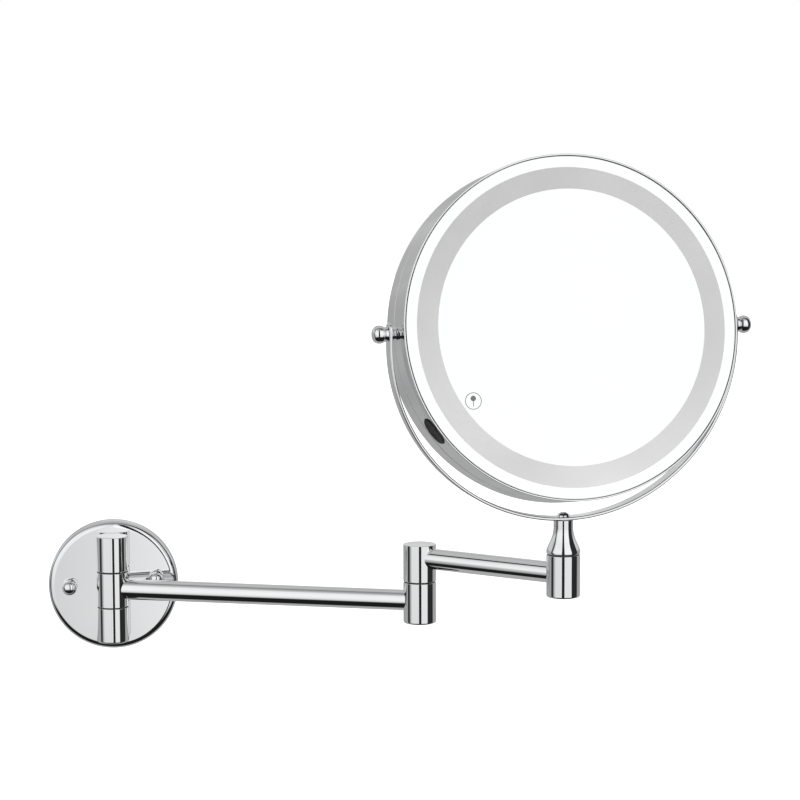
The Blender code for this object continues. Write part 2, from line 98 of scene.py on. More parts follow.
# %% The finish kit
def new_finish(name, metallic=0.0, stretch=(1, 1, 1)):
    finish = bpy.data.materials.new(name)
    finish.use_nodes = True
    tree = finish.node_tree
    shader = tree.nodes["Principled BSDF"]
    shader.inputs["Metallic"].default_value = metallic
    where = tree.nodes.new("ShaderNodeTexCoord")
    mapping = tree.nodes.new("ShaderNodeMapping")
    mapping.inputs["Scale"].default_value = stretch
    tree.links.new(where.outputs["Object"], mapping.inputs["Vector"])
    return finish, tree, shader, mapping.outputs["Vector"]


def noise(tree, spot, scale, detail=3.0, roughness=0.5):
    node = tree.nodes.new("ShaderNodeTexNoise")
    node.inputs["Scale"].default_value = scale
    node.inputs["Detail"].default_value = detail
    node.inputs["Roughness"].default_value = roughness
    tree.links.new(spot, node.inputs["Vector"])
    return node.outputs["Fac"]


def set_stops(ramp, stops):
    ramp.elements.remove(ramp.elements[1])
    ramp.elements[0].position = stops[0][0]
    for place, _ in stops[1:]:
        ramp.elements.new(place)
    for element, (_, colour) in zip(ramp.elements, stops):
        element.color = (*colour, 1.0)


def colour_ramp(tree, amount, stops, target):
    node = tree.nodes.new("ShaderNodeValToRGB")
    set_stops(node.color_ramp, stops)
    tree.links.new(amount, node.inputs["Fac"])
    tree.links.new(node.outputs["Color"], target)


def spread(tree, amount, low, high, target, start=0.3, end=0.7):
    node = tree.nodes.new("ShaderNodeMapRange")
    node.inputs["From Min"].default_value = start
    node.inputs["From Max"].default_value = end
    node.inputs["To Min"].default_value = low
    node.inputs["To Max"].default_value = high
    tree.links.new(amount, node.inputs["Value"])
    tree.links.new(node.outputs["Result"], target)


def relief(tree, amount, shader, strength, depth):
    node = tree.nodes.new("ShaderNodeBump")
    node.inputs["Strength"].default_value = strength
    node.inputs["Distance"].default_value = depth * MM
    tree.links.new(amount, node.inputs["Height"])
    tree.links.new(node.outputs["Normal"], shader.inputs["Normal"])


# %% [markdown]
# Chrome plate is a mirror with a cool tint.  It isn't perfectly even: the plating is a little thinner in
# places, and handling leaves patches that are slightly less sharp.  The relief is so faint that a straight
# edge reflected in the metal only just wavers.

# %% Polished chrome
chrome, tree, shader, spot = new_finish("polished_chrome", metallic=1.0)
colour_ramp(tree, noise(tree, spot, 14, 4), [(0.3, (0.86, 0.87, 0.885)), (0.7, (0.92, 0.925, 0.93))],
            shader.inputs["Base Color"])
spread(tree, noise(tree, spot, 38, 5, 0.6), 0.015, 0.05, shader.inputs["Roughness"])
relief(tree, noise(tree, spot, 60, 2), shader, 0.10, 0.02)

# %% [markdown]
# The mirror glass is silver behind a sheet of float glass, so it is the smoothest thing here.  A trace of
# breath and wiping makes its roughness vary a very little.

# %% Silvered glass
mirror_glass, tree, shader, spot = new_finish("silvered_glass", metallic=1.0)
colour_ramp(tree, noise(tree, spot, 6, 2), [(0.3, (0.945, 0.955, 0.955)), (0.7, (0.965, 0.97, 0.97))],
            shader.inputs["Base Color"])
spread(tree, noise(tree, spot, 22, 4), 0.004, 0.02, shader.inputs["Roughness"])

# %% [markdown]
# The light band is where the silver was taken off and the glass etched.  Unlit it is a soft even grey.
# Acid leaves a grain much finer than a millimetre, and slow drifts of tone.

# %% Etched glass
etched, tree, shader, spot = new_finish("etched_glass")
colour_ramp(tree, noise(tree, spot, 16, 3), [(0.25, (0.45, 0.45, 0.45)), (0.75, (0.53, 0.53, 0.53))],
            shader.inputs["Base Color"])
spread(tree, noise(tree, spot, 900, 2), 0.34, 0.5, shader.inputs["Roughness"])
relief(tree, noise(tree, spot, 2600, 2), shader, 0.25, 0.02)

mark_ink, tree, shader, spot = new_finish("mark_ink")
colour_ramp(tree, noise(tree, spot, 500, 2), [(0.3, (0.10, 0.10, 0.102)), (0.7, (0.14, 0.14, 0.142))],
            shader.inputs["Base Color"])
spread(tree, noise(tree, spot, 700, 2), 0.4, 0.55, shader.inputs["Roughness"])

# %% [markdown]
# The plug over the charging port is soft moulded rubber: nearly black, with a fine pebbled skin that
# scatters the light, and a trace of grey bloom.

# %% Rubber and nylon
rubber, tree, shader, spot = new_finish("black_rubber")
colour_ramp(tree, noise(tree, spot, 220, 4), [(0.3, (0.006, 0.006, 0.006)), (0.75, (0.022, 0.022, 0.023))],
            shader.inputs["Base Color"])
spread(tree, noise(tree, spot, 480, 3), 0.5, 0.75, shader.inputs["Roughness"])
shader.inputs["Specular IOR Level"].default_value = 0.25
relief(tree, noise(tree, spot, 1500, 2), shader, 0.5, 0.12)

nylon, tree, shader, spot = new_finish("grey_nylon")
colour_ramp(tree, noise(tree, spot, 260, 3), [(0.3, (0.02, 0.02, 0.021)), (0.75, (0.05, 0.05, 0.052))],
            shader.inputs["Base Color"])
spread(tree, noise(tree, spot, 300, 2), 0.4, 0.6, shader.inputs["Roughness"])

# %% [markdown]
# Inside the drum and behind the plate there are plainer materials.  They share one recipe, with their own
# colours, grain and roughness: two tones mixed by noise, a roughness that follows a finer noise, and a
# relief from the same grain.

# %% Plain finishes, seen when the mirror is taken apart
PLAIN = {
    "zinc_steel": (1.0, (0.42, 0.44, 0.47), (0.62, 0.63, 0.62), 70, (0.28, 0.45), (1, 1, 9), 0.04),
    "brass": (1.0, (0.66, 0.50, 0.24), (0.80, 0.63, 0.34), 120, (0.22, 0.4), (6, 1, 1), 0.03),
    "opal_acrylic": (0.0, (0.80, 0.81, 0.82), (0.88, 0.885, 0.89), 40, (0.35, 0.5), (1, 1, 1), 0.02),
    "white_board": (0.0, (0.74, 0.76, 0.74), (0.85, 0.86, 0.85), 160, (0.4, 0.6), (1, 1, 1), 0.04),
    "green_board": (0.0, (0.02, 0.12, 0.05), (0.05, 0.24, 0.10), 240, (0.3, 0.5), (1, 6, 1), 0.06),
    "white_plastic": (0.0, (0.72, 0.72, 0.70), (0.82, 0.82, 0.80), 90, (0.42, 0.6), (1, 1, 1), 0.05),
    "cell_wrap": (0.0, (0.16, 0.28, 0.42), (0.24, 0.38, 0.54), 60, (0.25, 0.42), (1, 1, 5), 0.03),
    "copper_pad": (1.0, (0.62, 0.33, 0.20), (0.80, 0.48, 0.31), 200, (0.25, 0.4), (1, 1, 1), 0.03),
    "lead_jacket": (0.0, (0.30, 0.02, 0.02), (0.48, 0.05, 0.04), 150, (0.35, 0.5), (1, 1, 1), 0.03),
}
finishes = {"polished_chrome": chrome, "silvered_glass": mirror_glass, "black_rubber": rubber, "grey_nylon": nylon}
for name, (metallic, dark, light, grain, rough, stretch, depth) in PLAIN.items():
    finishes[name], tree, shader, spot = new_finish(name, metallic, stretch)
    colour_ramp(tree, noise(tree, spot, grain, 3), [(0.3, dark), (0.7, light)], shader.inputs["Base Color"])
    spread(tree, noise(tree, spot, grain * 3, 4), *rough, shader.inputs["Roughness"])
    relief(tree, noise(tree, spot, grain * 5, 3), shader, 0.3, depth)

# %% [markdown]
# The frame's own parts that stay in view get these finishes by the record's slots.

# %% Dress the frame
slot_of = {part["node"]: part["material_slot"] for part in frame["record"]["subparts"]}
for name, node in nodes.items():
    node.data.materials.clear()
    node.data.materials.append(finishes[slot_of[name]])
print("finishes:", ", ".join(sorted(finishes)))

# %% [markdown]
# ## Shaping kit
# Nearly every visible part of this mirror comes off a lathe.  So the main tool here is a lathe too: half
# of the part's outline is drawn by extruding one vertex from point to point, and the outline is spun once
# round.  The doubled seam is merged, poles close by themselves, and the normals are turned outwards.


# %% The lathe
MERGE_DISTANCE = 0.000002


def clear_selection():
    if bpy.context.mode != "OBJECT":
        bpy.ops.object.mode_set(mode="OBJECT")
    bpy.ops.object.select_all(action="DESELECT")


def adopt(name):
    item = bpy.context.object
    item.name = name
    item.data.name = name
    return item


def lathe(name, outline, steps=96, ring=False):
    clear_selection()
    bpy.ops.mesh.primitive_plane_add(size=MM)
    item = adopt(name)
    bpy.ops.object.mode_set(mode="EDIT")
    bpy.ops.mesh.select_mode(type="VERT")
    bpy.ops.mesh.select_all(action="SELECT")
    bpy.ops.mesh.merge(type="COLLAPSE")
    radius, height = outline[0]
    bpy.ops.transform.translate(value=(radius * MM, 0, height * MM))
    for far, up in list(outline[1:]) + ([outline[0]] if ring else []):
        step = ((far - radius) * MM, 0, (up - height) * MM)
        bpy.ops.mesh.extrude_vertices_move(TRANSFORM_OT_translate={"value": step})
        radius, height = far, up
    bpy.ops.mesh.select_all(action="SELECT")
    bpy.ops.mesh.spin(steps=steps, angle=math.tau, center=(0, 0, 0), axis=(0, 0, 1))
    bpy.ops.mesh.select_all(action="SELECT")
    bpy.ops.mesh.remove_doubles(threshold=MERGE_DISTANCE)
    bpy.ops.mesh.normals_make_consistent(inside=False)
    bpy.ops.object.mode_set(mode="OBJECT")
    return item


def arc(centre_r, centre_z, radius, start, end, steps):
    points = []
    for i in range(steps + 1):
        angle = math.radians(start + (end - start) * i / steps)
        points.append((centre_r + radius * math.cos(angle), centre_z + radius * math.sin(angle)))
    return points


def flowing(points, steps=4):
    """A smooth line through the points, with no corner at any of them."""
    padded = [points[0], *points, points[-1]]
    line = []
    for a, b, c, d in zip(padded, padded[1:], padded[2:], padded[3:]):
        for i in range(steps):
            t = i / steps
            line.append(tuple(0.5 * (2 * b[k] + (c[k] - a[k]) * t + (2 * a[k] - 5 * b[k] + 4 * c[k] - d[k]) * t * t
                                     + (3 * b[k] - a[k] - 3 * c[k] + d[k]) * t ** 3) for k in (0, 1)))
    return line + [points[-1]]


# %% [markdown]
# A machined edge is never perfectly sharp, and on polished metal its tiny round is what catches the light.
# A bevel modifier gives every corner one.  Weighted normals then keep the flats flat, so that they mirror
# without a false gradient.


# %% Finishing moves
SHARP_ANGLE = 32


def apply_modifier(item, kind, **values):
    clear_selection()
    item.select_set(True)
    bpy.context.view_layer.objects.active = item
    step = item.modifiers.new(kind.lower(), kind)
    for key, value in values.items():
        setattr(step, key, value)
    bpy.ops.object.modifier_apply(modifier=step.name)


def soften(item, width, segments=3):
    apply_modifier(item, "BEVEL", width=width * MM, segments=segments, limit_method="ANGLE",
                   angle_limit=math.radians(SHARP_ANGLE), use_clamp_overlap=True)


def cut(item, cutter):
    apply_modifier(item, "BOOLEAN", operation="DIFFERENCE", solver="EXACT", object=cutter)
    bpy.data.objects.remove(cutter)


def peg(radius, depth, place, sides):
    """A plain round or six-sided peg, used only to cut with."""
    clear_selection()
    bpy.ops.mesh.primitive_cylinder_add(vertices=sides, radius=radius * MM, depth=depth * MM,
                                        location=Vector(place) * MM)
    return adopt("peg")


def settle(item, place, finish, body, slot, *replaced, smooth=40):
    """Carries the part to its place, dresses it, hangs it on its body and hides the frame parts that it replaces.
    """
    clear_selection()
    item.matrix_world = place @ item.matrix_world
    item.select_set(True)
    bpy.context.view_layer.objects.active = item
    bpy.ops.object.transform_apply(location=True, rotation=True, scale=True)
    bpy.ops.object.shade_smooth_by_angle(angle=math.radians(smooth))
    apply_modifier(item, "WEIGHTED_NORMAL", mode="FACE_AREA_WITH_ANGLE", keep_sharp=True)
    item.data.materials.clear()
    item.data.materials.append(finish)
    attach(item, body)
    if replaced:
        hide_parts(*replaced)
    print(f"{item.name}: {len(item.data.polygons)} faces on {body}")


def chromed(item, place, body, *replaced):
    settle(item, place, chrome, body, "polished_chrome", *replaced)


# %% [markdown]
# ## Wall plate
# The plate is a shallow steel pan, pressed over a rounded shoulder and open to the wall.  The outline goes
# over the shoulder, down the rim, and back up inside.

# %% The pan
PLATE_RADIUS = 41.5
PLATE_DEPTH = 12.5
PLATE_WALL = 1.2
SHOULDER = 4.2

edge_r, edge_z = PLATE_RADIUS - SHOULDER, PLATE_DEPTH - SHOULDER
outline = [(0, PLATE_DEPTH), (20, PLATE_DEPTH), *arc(edge_r, edge_z, SHOULDER, 90, 0, 14), (PLATE_RADIUS, 0),
           (PLATE_RADIUS - PLATE_WALL, 0), *arc(edge_r, edge_z, SHOULDER - PLATE_WALL, 0, 90, 6),
           (0, PLATE_DEPTH - PLATE_WALL)]
plate = lathe("plate_pan", outline, 192)
soften(plate, 0.25, 2)
chromed(plate, AT_WALL, "wall_base", "wall_plate")

# %% [markdown]
# Two ball nuts pull the plate against its bracket.  Each is a ball on a short collar.  One is turned and
# the other is its copy, with its own mesh.

# %% The ball nuts
STUD_OFFSET = 27.8
STUD_TURN = 5.0
STUD_HEIGHT = 2.3
BALL = 4.75
face = PLATE_DEPTH + 0.3
outline = [(0, face + 9.75), *arc(0, face + 5.0, BALL, 90, -52, 26)[1:], (3.6, face + 0.9), (3.6, face),
           (2.3, face), (2.3, 18.5), (0, 18.5)]
nut = lathe("nut_left", outline, 64)
soften(nut, 0.12, 2)


def twin(item, name):
    copy = item.copy()
    copy.data = item.data.copy()
    copy.name = copy.data.name = name
    bpy.context.collection.objects.link(copy)
    return copy


other_nut = twin(nut, "nut_right")
stud_angle = math.radians(STUD_TURN)
stud = Vector((STUD_OFFSET * math.cos(stud_angle), STUD_OFFSET * math.sin(stud_angle), 0))
middle = Vector((0, STUD_HEIGHT, 0))
chromed(nut, AT_WALL @ move((middle - stud) * MM), "wall_base", "ball_nut_left")
chromed(other_nut, AT_WALL @ move((middle + stud) * MM), "wall_base", "ball_nut_right")

# %% [markdown]
# ## Hinge barrels
# All five barrels are the same bar of brass, 20.5 mm across, cut to length and plated.  Their ends carry a
# small round, and the lower ones are bored from below for a sunken bolt head.

# %% Barrels
BARREL = 10.25
HALF_HINGE = 34.2
HALF_MIDDLE = 11.0
SEAM = 0.7
KNUCKLE_LOW = HALF_MIDDLE + SEAM
FOOT_ROUND = 1.2
PIN_BORE = 3.3
BOLT_BORE = 2.8
HEAD_BORE = 5.4
HEAD_SEAT = -29.4

upper = lathe("knuckle_top", [(0, HALF_HINGE), (BARREL, HALF_HINGE), (BARREL, KNUCKLE_LOW),
                              (PIN_BORE, KNUCKLE_LOW), (PIN_BORE, 28.0), (0, 28.0)])
soften(upper, 0.45)
chromed(upper, AT_HINGE, "wall_base", "upper_knuckle")

lower = lathe("knuckle_bottom", [(PIN_BORE, -KNUCKLE_LOW), (BARREL, -KNUCKLE_LOW),
                                 *arc(BARREL - FOOT_ROUND, FOOT_ROUND - HALF_HINGE, FOOT_ROUND, 0, -90, 6),
                                 (HEAD_BORE, -HALF_HINGE), (HEAD_BORE, HEAD_SEAT), (PIN_BORE, HEAD_SEAT)],
              ring=True)
soften(lower, 0.3)
chromed(lower, AT_HINGE, "wall_base", "lower_knuckle")

centre = lathe("knuckle_middle", [(PIN_BORE, HALF_MIDDLE), (BARREL, HALF_MIDDLE), (BARREL, -HALF_MIDDLE),
                                  (PIN_BORE, -HALF_MIDDLE)], ring=True)
soften(centre, 0.25)
chromed(centre, AT_REAR, "rear_arm", "middle_knuckle")

# %% [markdown]
# The elbow and the end of the front arm are barrels of the same bar.

# %% Elbow and end barrels
ELBOW = (-13.9, 12.3, 35.9)
END = (13.1, 39.4)
AT_ELBOW_LOW = AT_REAR @ move((REAR_REACH * MM, 0, 0))
AT_END = AT_FRONT @ move((FRONT_REACH * MM, 0, 0))


def bored_barrel(name, bottom, top, shoulder):
    foot = arc(BARREL - FOOT_ROUND, bottom + FOOT_ROUND, FOOT_ROUND, 0, -90, 6)
    item = lathe(name, [(BOLT_BORE, top), (BARREL, top), *foot, (HEAD_BORE, bottom), (HEAD_BORE, shoulder),
                        (BOLT_BORE, shoulder)], ring=True)
    soften(item, 0.3)
    return item


elbow_low = bored_barrel("elbow_lower", ELBOW[0], ELBOW[1] - SEAM / 2, -7.0)
chromed(elbow_low, AT_ELBOW_LOW, "rear_arm", "elbow_lower_barrel")
elbow_high = lathe("elbow_upper", [(0, ELBOW[2]), (BARREL, ELBOW[2]), (BARREL, ELBOW[1] + SEAM / 2),
                                   (BOLT_BORE, ELBOW[1] + SEAM / 2), (BOLT_BORE, 26.5), (0, 26.5)])
soften(elbow_high, 0.4)
chromed(elbow_high, AT_FRONT, "front_arm", "elbow_upper_barrel")
end = bored_barrel("arm_end", END[0], END[1] - SEAM / 2, 20.0)
chromed(end, AT_END, "front_arm", "end_barrel")

# %% [markdown]
# A grey nylon washer lies in every seam and lets the barrels turn on each other.  It is set in a little
# from the edge, so from outside it reads as a dark line.

# %% Washers
WASHER = 9.7


def washer(name, low, high, bore, place, body, node):
    item = lathe(name, [(bore, high), (WASHER, high), (WASHER, low), (bore, low)], 64, ring=True)
    soften(item, 0.06, 2)
    settle(item, place, nylon, body, "grey_nylon", node)


washer("hinge_washer_top", HALF_MIDDLE + 0.15, KNUCKLE_LOW - 0.15, PIN_BORE, AT_HINGE, "wall_base",
       "wall_washer_upper")
washer("hinge_washer_bottom", -KNUCKLE_LOW + 0.15, -HALF_MIDDLE - 0.15, PIN_BORE, AT_HINGE, "wall_base",
       "wall_washer_lower")
washer("elbow_ring", ELBOW[1] - 0.2, ELBOW[1] + 0.2, BOLT_BORE, AT_ELBOW_LOW, "rear_arm", "elbow_washer")
washer("neck_ring", END[1] - 0.2, END[1] + 0.2, BOLT_BORE, AT_END, "front_arm", "neck_washer")

# %% [markdown]
# The hinges are held by socket-head bolts from below.  A bolt is turned, and its six-sided socket is cut
# with a six-sided peg.

# %% Bolts
def socket_bolt(name, outline, head_low, place, body, node):
    item = lathe(name, outline, 48)
    soften(item, 0.25, 2)
    cut(item, peg(2.3, 4.0, (0, 0, head_low), sides=6))
    settle(item, place, finishes["zinc_steel"], body, "zinc_steel", node, smooth=35)


socket_bolt("hinge_bolt", [(0, 27.5), (3.0, 27.5), (3.0, -29.7), (4.9, -29.7), (4.9, -33.6), (0, -33.6)], -33.6,
            AT_HINGE, "wall_base", "wall_hinge_pin")
socket_bolt("elbow_socket_bolt", [(0, 25.5), (2.5, 25.5), (2.5, -8.0), (4.6, -8.0), (4.6, -12.0), (0, -12.0)],
            -12.0, AT_FRONT, "front_arm", "elbow_bolt")
socket_bolt("neck_socket_bolt", [(0, 51.5), (2.5, 51.5), (2.5, 19.0), (4.6, 19.0), (4.6, 15.0), (0, 15.0)], 15.0,
            AT_NECK, "yoke", "neck_bolt")

# %% [markdown]
# ## Arms
# Each arm is a length of 13 mm tube, its two ends coped to sit on the round barrels and brazed there.  The
# tube is turned first, then a peg as thick as a barrel cuts each end.

# %% Arm tubes
TUBE = 6.5
TUBE_BORE = 5.3
FRONT_ARM_HEIGHT = 27.2


def arm(name, reach, height, place, body, node):
    item = lathe(name, [(TUBE_BORE, reach - 4), (TUBE, reach - 4), (TUBE, 4), (TUBE_BORE, 4)], 96, ring=True)
    clear_selection()
    item.select_set(True)
    item.matrix_world = turn(90, "Y")
    bpy.ops.object.transform_apply(location=True, rotation=True, scale=True)
    for far in (0, reach):
        cut(item, peg(BARREL - 0.03, 40, (far, 0, 0), sides=128))
    chromed(item, place @ move((0, 0, height * MM)), body, node)


arm("tube_rear", REAR_REACH, 0, AT_REAR, "rear_arm", "rear_arm_tube")
arm("tube_front", FRONT_REACH, FRONT_ARM_HEIGHT, AT_FRONT, "front_arm", "front_arm_tube")

# %% [markdown]
# ## Neck
# The neck is turned like a bell: straight under the yoke, then flaring into a rounded foot as wide as the
# barrel that it stands on.

# %% The bell-shaped neck
YOKE_INNER = 107.0
YOKE_THICK = 2.0
YOKE_BOTTOM = pivot.z / MM - YOKE_DROP - YOKE_INNER - YOKE_THICK
FOOT = END[1] + SEAM / 2
top = YOKE_BOTTOM - 0.02
bell = flowing([(6.0, FOOT + 15.4), (6.25, FOOT + 12.8), (6.9, FOOT + 10.4), (7.7, FOOT + 8.2), (8.7, FOOT + 6.0),
                (9.5, FOOT + 4.2), (10.1, FOOT + 2.6), (10.35, FOOT + 1.2), (10.25, FOOT + 0.3), (9.9, FOOT)], 4)
post = lathe("neck_bell", [(0, top), (6.0, top), *bell, (0, FOOT)], 96)
soften(post, 0.2, 2)
chromed(post, AT_NECK, "yoke", "neck_post")

# %% [markdown]
# ## Yoke
# The yoke is a flat strip, 10 mm wide and 2 mm thick, rolled into a half ring.  Its cross-section is a
# plane that is spun half a turn, its two ends are pulled straight up, and the tips are rounded.


# %% The half ring
def pick(item, kind, test):
    """In edit mode, selects the edges or faces whose corners all pass the test."""
    bpy.ops.mesh.select_all(action="DESELECT")
    bpy.ops.mesh.select_mode(type=kind)
    bpy.ops.object.mode_set(mode="OBJECT")
    mesh = item.data
    for part in (mesh.edges if kind == "EDGE" else mesh.polygons):
        part.select = all(test(mesh.vertices[i].co / MM) for i in part.vertices)
    bpy.ops.object.mode_set(mode="EDIT")


STRIP_HALF = 5.0
TIP = YOKE_DROP + 7.0

clear_selection()
bpy.ops.mesh.primitive_plane_add(size=MM, location=(-(YOKE_INNER + YOKE_THICK / 2) * MM, 0, 0))
band = adopt("yoke_strip")
band.scale = (YOKE_THICK, STRIP_HALF * 2, 1)
bpy.ops.object.transform_apply(location=True, rotation=True, scale=True)
bpy.ops.object.mode_set(mode="EDIT")
bpy.ops.mesh.select_all(action="SELECT")
bpy.ops.mesh.spin(steps=160, angle=math.pi, center=(0, 0, 0), axis=(0, 1, 0))
pick(band, "FACE", lambda spot: abs(spot.z) < 0.01)
bpy.ops.mesh.extrude_region_move(TRANSFORM_OT_translate={"value": (0, 0, TIP * MM)})
bpy.ops.mesh.select_all(action="SELECT")
bpy.ops.mesh.remove_doubles(threshold=MERGE_DISTANCE)
bpy.ops.mesh.normals_make_consistent(inside=False)
pick(band, "EDGE", lambda spot: abs(spot.z - TIP) < 0.01 and spot.y > STRIP_HALF - 0.01)
front_tips = [edge.index for edge in band.data.edges if edge.select]
pick(band, "EDGE", lambda spot: abs(spot.z - TIP) < 0.01 and spot.y < 0.01 - STRIP_HALF)
bpy.ops.object.mode_set(mode="OBJECT")
for index in front_tips:
    band.data.edges[index].select = True
bpy.ops.object.mode_set(mode="EDIT")
bpy.ops.mesh.bevel(offset=(STRIP_HALF - 0.2) * MM, segments=14, affect="EDGES")
bpy.ops.object.mode_set(mode="OBJECT")
soften(band, 0.75, 5)
chromed(band, AT_YOKE, "yoke", "yoke_band")

# %% [markdown]
# A dome-headed screw inside the yoke holds it to the neck.

# %% The yoke's screw
screw_top = YOKE_BOTTOM + YOKE_THICK + 2.85
dome = flowing([(0, screw_top), (1.4, screw_top - 0.18), (2.7, screw_top - 0.8), (3.6, screw_top - 1.7),
                (4.05, screw_top - 2.8)], 4)
screw = lathe("yoke_dome_screw", [*dome, (2.0, screw_top - 2.8), (2.0, screw_top - 10), (0, screw_top - 10)], 48)
chromed(screw, AT_NECK, "yoke", "yoke_screw")

# %% [markdown]
# ## The drum
# The head is two turned shells that meet in a fine groove.  The front one carries the lip that holds the
# glass, and a round hole in its side for the charging plug.

# %% Front shell
HEAD = 103.5
HEAD_INNER = 100.9
HEAD_FRONT = 18.0
HEAD_BACK = -24.0
HEAD_SEAM = -6.5
GLASS = 102.1
GLASS_FACE = 17.6
GLASS_THICK = 3.2
PLUG_ANGLE = 214.5
PLUG = 8.9
PLUG_LEVEL = 7.2
AT_PLUG = move((0, 0, PLUG_LEVEL * MM)) @ turn(PLUG_ANGLE, "Z") @ turn(90, "Y")

ledge = GLASS_FACE - GLASS_THICK - 0.3
groove = HEAD_SEAM + 0.2
shell = lathe("drum_front", [(HEAD - 1.1, HEAD_FRONT), (HEAD, HEAD_FRONT), (HEAD, groove), (HEAD - 1.5, groove),
                             (HEAD - 1.5, groove - 4), (HEAD_INNER, groove - 4), (HEAD_INNER, ledge - 1.5),
                             (99.4, ledge - 1.5), (99.4, ledge), (HEAD - 1.1, ledge)], 288, ring=True)
soften(shell, 0.36)
bore = peg(PLUG + 0.35, 12, (0, 0, 102), sides=96)
bore.matrix_world = AT_PLUG @ bore.matrix_world
cut(shell, bore)
chromed(shell, AT_DIAL, "head", "head_body")

# %% [markdown]
# The rear shell is a bezel that holds the magnifying glass the same way.

# %% Rear shell
bezel = lathe("drum_rear", [(HEAD - 1.2, HEAD_SEAM - 0.2), (HEAD, HEAD_SEAM - 0.2), (HEAD, HEAD_BACK),
                            (99.8, HEAD_BACK), (99.8, HEAD_BACK + 1.1), (HEAD - 1.2, HEAD_BACK + 1.1)], 288,
              ring=True)
soften(bezel, 0.4)
chromed(bezel, AT_DIAL, "head", "rear_bezel")

# %% [markdown]
# ## Glass
# The front glass is a thick disc with its edge ground.  The light band is etched a little way into it, so
# the glass is turned with a shallow ring-shaped groove, and the etched ring is a part of its own that
# fills the groove.

# %% Front glass and its band
BAND_INNER = 82.6
BAND_OUTER = 95.5
ETCH = 0.12
front = lathe("glass_front", [(0, GLASS_FACE), (BAND_INNER - 20, GLASS_FACE), (BAND_INNER, GLASS_FACE),
                              (BAND_INNER, GLASS_FACE - ETCH), (BAND_OUTER, GLASS_FACE - ETCH),
                              (BAND_OUTER, GLASS_FACE), (GLASS - 0.25, GLASS_FACE), (GLASS, GLASS_FACE - 0.25),
                              (GLASS, GLASS_FACE - GLASS_THICK), (0, GLASS_FACE - GLASS_THICK)], 288)
settle(front, AT_DIAL, mirror_glass, "head", "silvered_glass", "front_mirror", smooth=20)

ring_top = GLASS_FACE - 0.01
ring_low = ring_top - ETCH + 0.02
etched_ring = lathe("light_band", [(BAND_INNER, ring_top), (BAND_OUTER, ring_top), (BAND_OUTER, ring_low),
                                   (BAND_INNER, ring_low)], 288, ring=True)
settle(etched_ring, AT_DIAL, etched, "head", "opal_acrylic", smooth=20)

# %% [markdown]
# The touch pad is marked on the glass by a small sign: a ring round a lamp bulb.  The ring is turned.  The
# bulb starts as a disc, and the lowest bit of its edge is pulled down into a thin stem.

# %% Touch mark
TOUCH = (-63.3, -41.9)
BULB = 1.65
BULB_HEIGHT = 1.5
STEM_END = -3.1
sign = lathe("touch_ring", [(4.65, 0.03), (5.05, 0.03), (5.05, 0), (4.65, 0)], 96, ring=True)
clear_selection()
bpy.ops.mesh.primitive_circle_add(vertices=48, radius=BULB * MM, fill_type="NGON",
                                  location=(0, BULB_HEIGHT * MM, 0))
bulb = adopt("touch_bulb")
bpy.ops.object.transform_apply(location=True, rotation=True, scale=True)
bpy.ops.object.mode_set(mode="EDIT")
pick(bulb, "EDGE", lambda spot: spot.y < BULB_HEIGHT - BULB + 0.02)
bpy.ops.mesh.extrude_region_move(TRANSFORM_OT_translate={"value": (0, -BULB * MM, 0)})
bpy.ops.transform.resize(value=(1, 0, 1), center_override=(0, STEM_END * MM, 0))
bpy.ops.mesh.select_all(action="SELECT")
bpy.ops.mesh.normals_make_consistent(inside=False)
bpy.ops.object.mode_set(mode="OBJECT")
apply_modifier(bulb, "SOLIDIFY", thickness=0.03 * MM, offset=0)
bulb.location = (0, 0, 0.015 * MM)
clear_selection()
bulb.select_set(True)
sign.select_set(True)
bpy.context.view_layer.objects.active = sign
bpy.ops.object.join()
sign.name = sign.data.name = "touch_mark"
on_glass = move((TOUCH[0] * MM, TOUCH[1] * MM, GLASS_FACE * MM))
settle(sign, AT_DIAL @ on_glass, mark_ink, "head", "grey_nylon", smooth=20)

# %% [markdown]
# The rear glass is a magnifier: a shallow bowl, part of a ball of 800 mm radius.  Both of its faces follow
# that ball.

# %% Magnifying glass
CURVE = 800.0
MAGNIFIER = 101.9
rim_level = HEAD_BACK + 1.4


def dish(level, steps):
    deep = CURVE - math.sqrt(CURVE ** 2 - MAGNIFIER ** 2)
    radii = [MAGNIFIER * (1 - i / steps) for i in range(steps + 1)]
    return [(radius, level + deep - CURVE + math.sqrt(CURVE ** 2 - radius ** 2)) for radius in radii]


magnifier = lathe("glass_magnifier", dish(rim_level + 2.5, 24)[::-1] + dish(rim_level, 24), 288)
settle(magnifier, AT_DIAL, mirror_glass, "head", "silvered_glass", "rear_mirror", smooth=20)

# %% [markdown]
# ## Pivots
# The head turns between two knobs.  Each knob is a rounded barrel on a small collar, and a
# grooved spacer keeps the yoke off the drum.

# %% Knobs and spacers
ball = flowing([(0, 118.6), (2.0, 118.4), (3.8, 117.7), (4.9, 116.5), (5.4, 115.0), (5.4, 113.4), (5.1, 112.2),
                (4.5, 111.4)], 5)
knob = lathe("knob_left", [*ball, (4.0, 111.25), (4.0, 110.8), (4.6, 110.65), (4.6, 109.2), (2.0, 109.2),
                           (2.0, 93.5), (0, 93.5)], 64)
soften(knob, 0.18, 2)
spacer = lathe("spacer_left", [(2.3, 106.85), (4.0, 106.85), (4.0, 105.7), (3.5, 105.4), (3.5, 105.1),
                               (4.0, 104.8), (4.0, 103.6), (2.3, 103.6)], 64, ring=True)
soften(spacer, 0.15, 2)
for part, stem, kept in ((knob, "knob", "pivot_knob"), (spacer, "spacer", "pivot_spacer")):
    other = twin(part, f"{stem}_right")
    chromed(part, AT_HEAD @ turn(-90, "Y"), "head", f"{kept}_left")
    chromed(other, AT_HEAD @ turn(90, "Y"), "head", f"{kept}_right")

